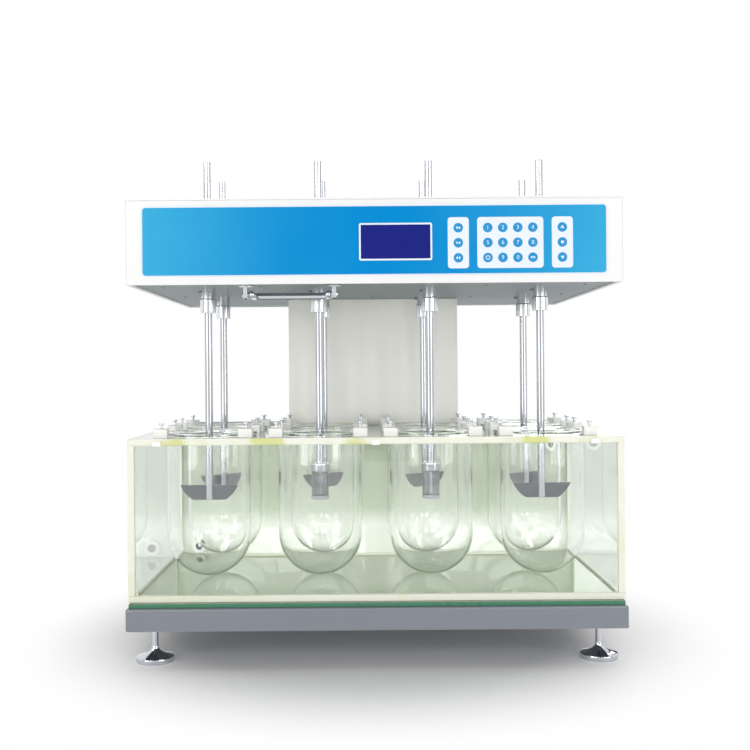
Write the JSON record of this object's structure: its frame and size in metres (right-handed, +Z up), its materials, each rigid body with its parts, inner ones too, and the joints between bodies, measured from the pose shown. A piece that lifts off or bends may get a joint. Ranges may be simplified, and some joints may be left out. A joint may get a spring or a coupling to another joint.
{
  "type": "dissolution tester",
  "caption": "Bench dissolution tester: a lifting drive head with display and keys turns paddles and baskets in round-bottomed glass vessels held in a clear heated water bath.",
  "frame": {"origin": "on the bench, under the middle of the base tray", "axes": "+Z up, +X to the viewer's right, +Y to the rear; the front panel faces -Y"},
  "size_m": [0.616, 0.452, 0.638],
  "materials": {
    "tray_paint": "blue-grey enamel, satin",
    "sheet_glass": "float glass with a green edge",
    "acrylic": "clear polished acrylic",
    "vessel_glass": "clear borosilicate",
    "white_plastic": "white plastic",
    "cream_paint": "cream enamel, satin",
    "white_paint": "white enamel, satin",
    "grey_plate": "grey, glossy",
    "panel_film": "blue printed film",
    "display": "dark blue liquid crystal display",
    "key_film": "blue key caps",
    "chrome": "polished",
    "steel": "polished stainless",
    "cast_aluminium": "satin",
    "black_paint": "satin",
    "black_plastic": "matte",
    "black_rubber": "matte",
    "board": "solder mask"
  },
  "bodies": {
    "base": {"base_tray": "tray_paint", "glass_sheet": "sheet_glass", "water_tank": "acrylic", "vessel_plate": "acrylic", "vessels_front": "vessel_glass", "vessels_rear": "vessel_glass", "vessel_clamps": "white_plastic", "tank_ports": "white_plastic", "rear_chassis": "cream_paint", "circulation_heater": "cast_aluminium", "lift_mast": "cast_aluminium", "gas_spring_cylinder": "black_paint", "mains_inlet": "black_plastic"},
    "head": {"head_cover": "white_paint", "head_base_plate": "grey_plate", "front_panel": "panel_film", "display_window": "display", "column_cover": "cream_paint", "lift_rods": "steel", "handle_brackets": "chrome", "drive_motor": "black_paint", "drive_belt": "black_rubber", "control_board": "board", "bearing_housings": "cast_aluminium", "shaft_seals": "black_rubber"},
    "lift_handle": {"lift_handle": "chrome"},
    "power_switch": {"power_switch": "black_plastic"},
    "motor_pulley": {"motor_pulley": "cast_aluminium"},
    "foot_front_left": {"foot_front_left": "chrome"},
    "foot_front_right": {"foot_front_right": "chrome"},
    "foot_rear_left": {"foot_rear_left": "chrome"},
    "foot_rear_right": {"foot_rear_right": "chrome"},
    "stirrer_1": {"stirrer_1": "steel"},
    "stirrer_2": {"stirrer_2": "steel"},
    "stirrer_3": {"stirrer_3": "steel"},
    "stirrer_4": {"stirrer_4": "steel"},
    "stirrer_5": {"stirrer_5": "steel"},
    "stirrer_6": {"stirrer_6": "steel"},
    "stirrer_7": {"stirrer_7": "steel"},
    "stirrer_8": {"stirrer_8": "steel"},
    "basket_2": {"basket_2": "steel"},
    "basket_3": {"basket_3": "steel"},
    "key_left_1": {"key_left_1": "key_film"},
    "key_left_2": {"key_left_2": "key_film"},
    "key_left_3": {"key_left_3": "key_film"},
    "key_pad_1": {"key_pad_1": "key_film"},
    "key_pad_2": {"key_pad_2": "key_film"},
    "key_pad_3": {"key_pad_3": "key_film"},
    "key_pad_4": {"key_pad_4": "key_film"},
    "key_pad_5": {"key_pad_5": "key_film"},
    "key_pad_6": {"key_pad_6": "key_film"},
    "key_pad_7": {"key_pad_7": "key_film"},
    "key_pad_8": {"key_pad_8": "key_film"},
    "key_pad_9": {"key_pad_9": "key_film"},
    "key_pad_10": {"key_pad_10": "key_film"},
    "key_pad_11": {"key_pad_11": "key_film"},
    "key_pad_12": {"key_pad_12": "key_film"},
    "key_right_1": {"key_right_1": "key_film"},
    "key_right_2": {"key_right_2": "key_film"},
    "key_right_3": {"key_right_3": "key_film"}
  },
  "joints": [
    {"name": "head_lift", "type": "slide", "parent": "base", "child": "head", "axis": [0, 0, 1], "range_m": [-0.07, 0.1]},
    {"name": "motor_spin", "type": "hinge", "parent": "head", "child": "motor_pulley", "pos_m": [0, 0.005, 0.52], "axis": [0, 0, 1], "continuous": true},
    {"name": "stirrer_1_spin", "type": "hinge", "parent": "head", "child": "stirrer_1", "pos_m": [-0.216, -0.139, 0.5], "axis": [0, 0, 1], "continuous": true},
    {"name": "stirrer_2_spin", "type": "hinge", "parent": "head", "child": "stirrer_2", "pos_m": [-0.072, -0.139, 0.5], "axis": [0, 0, 1], "continuous": true},
    {"name": "stirrer_3_spin", "type": "hinge", "parent": "head", "child": "stirrer_3", "pos_m": [0.072, -0.139, 0.5], "axis": [0, 0, 1], "continuous": true},
    {"name": "stirrer_4_spin", "type": "hinge", "parent": "head", "child": "stirrer_4", "pos_m": [0.216, -0.139, 0.5], "axis": [0, 0, 1], "continuous": true},
    {"name": "stirrer_5_spin", "type": "hinge", "parent": "head", "child": "stirrer_5", "pos_m": [-0.216, 0.005, 0.5], "axis": [0, 0, 1], "continuous": true},
    {"name": "stirrer_6_spin", "type": "hinge", "parent": "head", "child": "stirrer_6", "pos_m": [-0.072, 0.005, 0.5], "axis": [0, 0, 1], "continuous": true},
    {"name": "stirrer_7_spin", "type": "hinge", "parent": "head", "child": "stirrer_7", "pos_m": [0.072, 0.005, 0.5], "axis": [0, 0, 1], "continuous": true},
    {"name": "stirrer_8_spin", "type": "hinge", "parent": "head", "child": "stirrer_8", "pos_m": [0.216, 0.005, 0.5], "axis": [0, 0, 1], "continuous": true},
    {"name": "basket_2_pull", "type": "slide", "parent": "stirrer_2", "child": "basket_2", "axis": [0, 0, -1], "range_m": [0, 0.018]},
    {"name": "basket_3_pull", "type": "slide", "parent": "stirrer_3", "child": "basket_3", "axis": [0, 0, -1], "range_m": [0, 0.018]},
    {"name": "handle_fold", "type": "hinge", "parent": "head", "child": "lift_handle", "pos_m": [-0.105, -0.2, 0.46], "axis": [-1, 0, 0], "range_deg": [0, 80]},
    {"name": "power_rocker", "type": "hinge", "parent": "base", "child": "power_switch", "pos_m": [0.175, 0.219, 0.12], "axis": [-1, 0, 0], "range_deg": [0, 20]},
    {"name": "foot_front_left_level", "type": "slide", "parent": "base", "child": "foot_front_left", "axis": [0, 0, -1], "range_m": [-0.008, 0.01]},
    {"name": "foot_front_right_level", "type": "slide", "parent": "base", "child": "foot_front_right", "axis": [0, 0, -1], "range_m": [-0.008, 0.01]},
    {"name": "foot_rear_left_level", "type": "slide", "parent": "base", "child": "foot_rear_left", "axis": [0, 0, -1], "range_m": [-0.008, 0.01]},
    {"name": "foot_rear_right_level", "type": "slide", "parent": "base", "child": "foot_rear_right", "axis": [0, 0, -1], "range_m": [-0.008, 0.01]},
    {"name": "key_left_1_press", "type": "slide", "parent": "head", "child": "key_left_1", "axis": [0, 1, 0], "range_m": [0, 0.0006], "stiffness_N_per_m": 1000},
    {"name": "key_left_2_press", "type": "slide", "parent": "head", "child": "key_left_2", "axis": [0, 1, 0], "range_m": [0, 0.0006], "stiffness_N_per_m": 1000},
    {"name": "key_left_3_press", "type": "slide", "parent": "head", "child": "key_left_3", "axis": [0, 1, 0], "range_m": [0, 0.0006], "stiffness_N_per_m": 1000},
    {"name": "key_pad_1_press", "type": "slide", "parent": "head", "child": "key_pad_1", "axis": [0, 1, 0], "range_m": [0, 0.0006], "stiffness_N_per_m": 1000},
    {"name": "key_pad_2_press", "type": "slide", "parent": "head", "child": "key_pad_2", "axis": [0, 1, 0], "range_m": [0, 0.0006], "stiffness_N_per_m": 1000},
    {"name": "key_pad_3_press", "type": "slide", "parent": "head", "child": "key_pad_3", "axis": [0, 1, 0], "range_m": [0, 0.0006], "stiffness_N_per_m": 1000},
    {"name": "key_pad_4_press", "type": "slide", "parent": "head", "child": "key_pad_4", "axis": [0, 1, 0], "range_m": [0, 0.0006], "stiffness_N_per_m": 1000},
    {"name": "key_pad_5_press", "type": "slide", "parent": "head", "child": "key_pad_5", "axis": [0, 1, 0], "range_m": [0, 0.0006], "stiffness_N_per_m": 1000},
    {"name": "key_pad_6_press", "type": "slide", "parent": "head", "child": "key_pad_6", "axis": [0, 1, 0], "range_m": [0, 0.0006], "stiffness_N_per_m": 1000},
    {"name": "key_pad_7_press", "type": "slide", "parent": "head", "child": "key_pad_7", "axis": [0, 1, 0], "range_m": [0, 0.0006], "stiffness_N_per_m": 1000},
    {"name": "key_pad_8_press", "type": "slide", "parent": "head", "child": "key_pad_8", "axis": [0, 1, 0], "range_m": [0, 0.0006], "stiffness_N_per_m": 1000},
    {"name": "key_pad_9_press", "type": "slide", "parent": "head", "child": "key_pad_9", "axis": [0, 1, 0], "range_m": [0, 0.0006], "stiffness_N_per_m": 1000},
    {"name": "key_pad_10_press", "type": "slide", "parent": "head", "child": "key_pad_10", "axis": [0, 1, 0], "range_m": [0, 0.0006], "stiffness_N_per_m": 1000},
    {"name": "key_pad_11_press", "type": "slide", "parent": "head", "child": "key_pad_11", "axis": [0, 1, 0], "range_m": [0, 0.0006], "stiffness_N_per_m": 1000},
    {"name": "key_pad_12_press", "type": "slide", "parent": "head", "child": "key_pad_12", "axis": [0, 1, 0], "range_m": [0, 0.0006], "stiffness_N_per_m": 1000},
    {"name": "key_right_1_press", "type": "slide", "parent": "head", "child": "key_right_1", "axis": [0, 1, 0], "range_m": [0, 0.0006], "stiffness_N_per_m": 1000},
    {"name": "key_right_2_press", "type": "slide", "parent": "head", "child": "key_right_2", "axis": [0, 1, 0], "range_m": [0, 0.0006], "stiffness_N_per_m": 1000},
    {"name": "key_right_3_press", "type": "slide", "parent": "head", "child": "key_right_3", "axis": [0, 1, 0], "range_m": [0, 0.0006], "stiffness_N_per_m": 1000}
  ],
  "couplings": [
    {"joint": "stirrer_1_spin", "follows": "motor_spin", "ratio": 1},
    {"joint": "stirrer_2_spin", "follows": "motor_spin", "ratio": 1},
    {"joint": "stirrer_3_spin", "follows": "motor_spin", "ratio": 1},
    {"joint": "stirrer_4_spin", "follows": "motor_spin", "ratio": 1},
    {"joint": "stirrer_5_spin", "follows": "motor_spin", "ratio": 1},
    {"joint": "stirrer_6_spin", "follows": "motor_spin", "ratio": 1},
    {"joint": "stirrer_7_spin", "follows": "motor_spin", "ratio": 1},
    {"joint": "stirrer_8_spin", "follows": "motor_spin", "ratio": 1}
  ]
}
